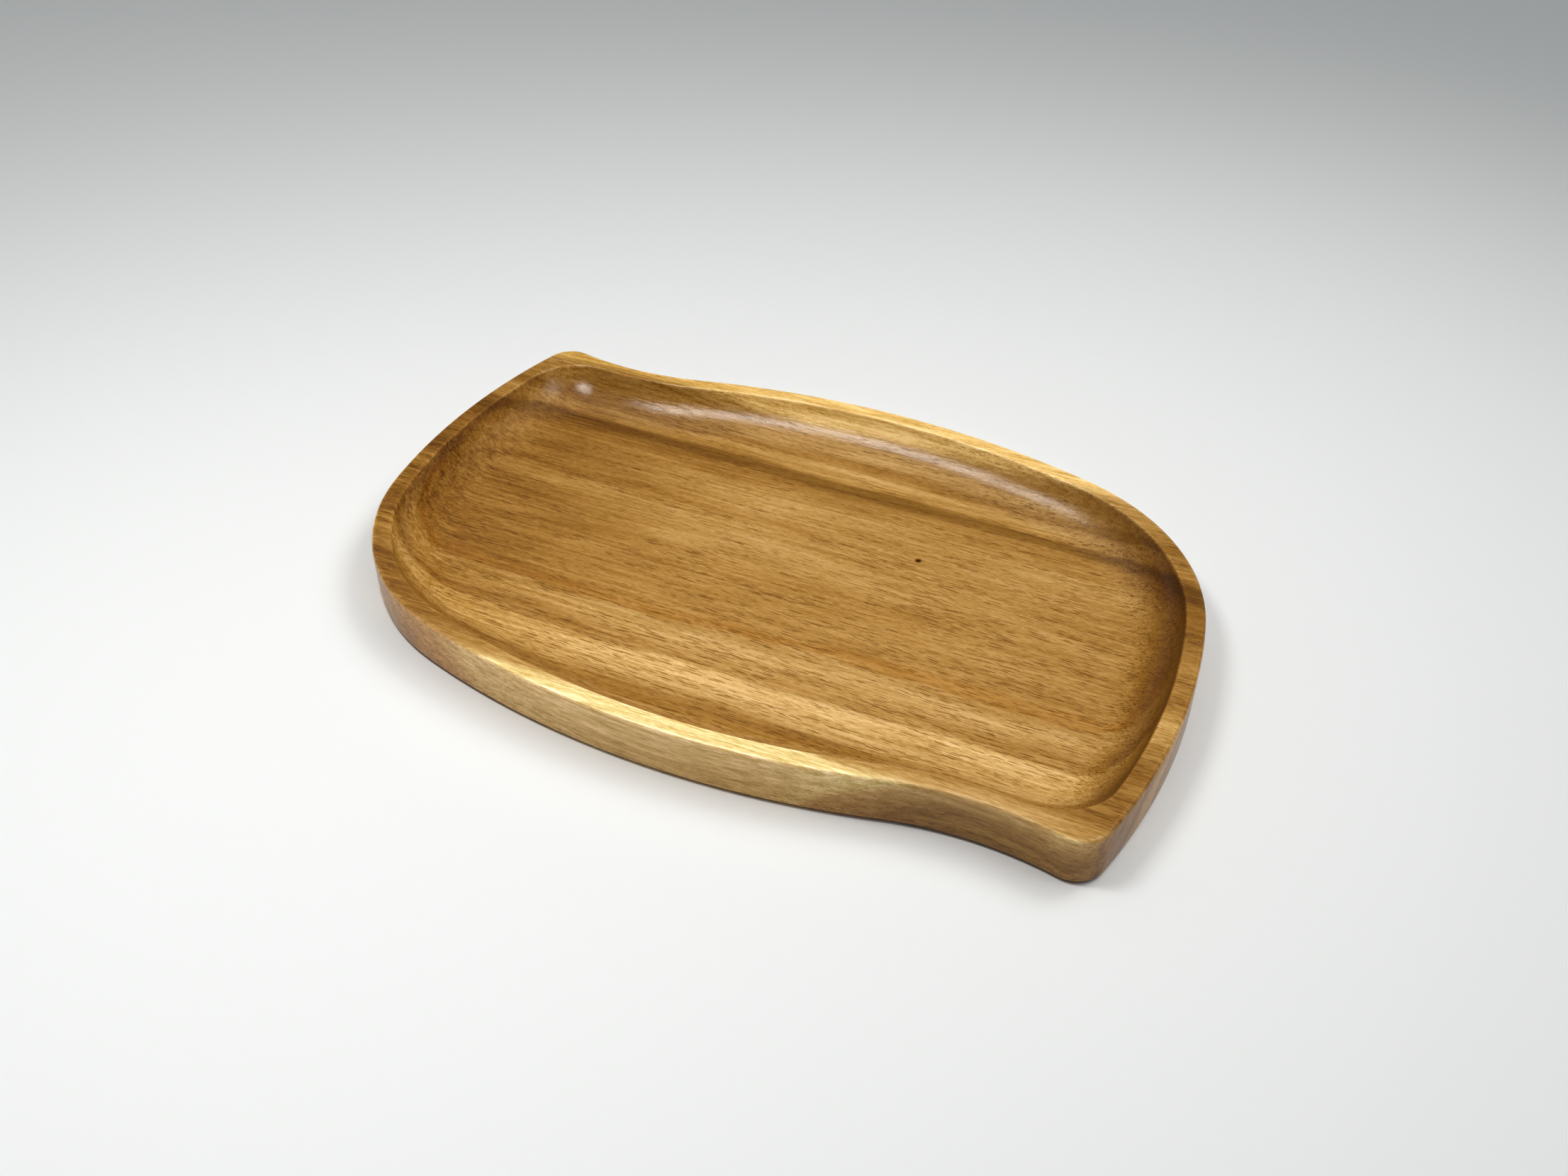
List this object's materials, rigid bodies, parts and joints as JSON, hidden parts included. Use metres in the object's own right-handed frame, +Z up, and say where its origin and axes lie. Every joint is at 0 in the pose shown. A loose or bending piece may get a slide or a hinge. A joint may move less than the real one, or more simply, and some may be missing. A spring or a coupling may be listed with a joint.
{
  "type": "coin tray",
  "caption": "Low hardwood tray with a wavy leaf-shaped outline, a flat rim and one shallow pocket whose floor sweeps up in a cove, for coins and small things.",
  "frame": {"origin": "middle of the flat underside, on the surface that the tray stands on", "axes": "+X along the length and the grain, +Y across the width, +Z up out of the pocket"},
  "size_m": [0.25, 0.1686, 0.015],
  "materials": {
    "hardwood": "satin clear lacquer over golden-brown heartwood with pale sapwood at the long edges"
  },
  "bodies": {
    "root": {"tray_body": "hardwood"}
  },
  "joints": []
}
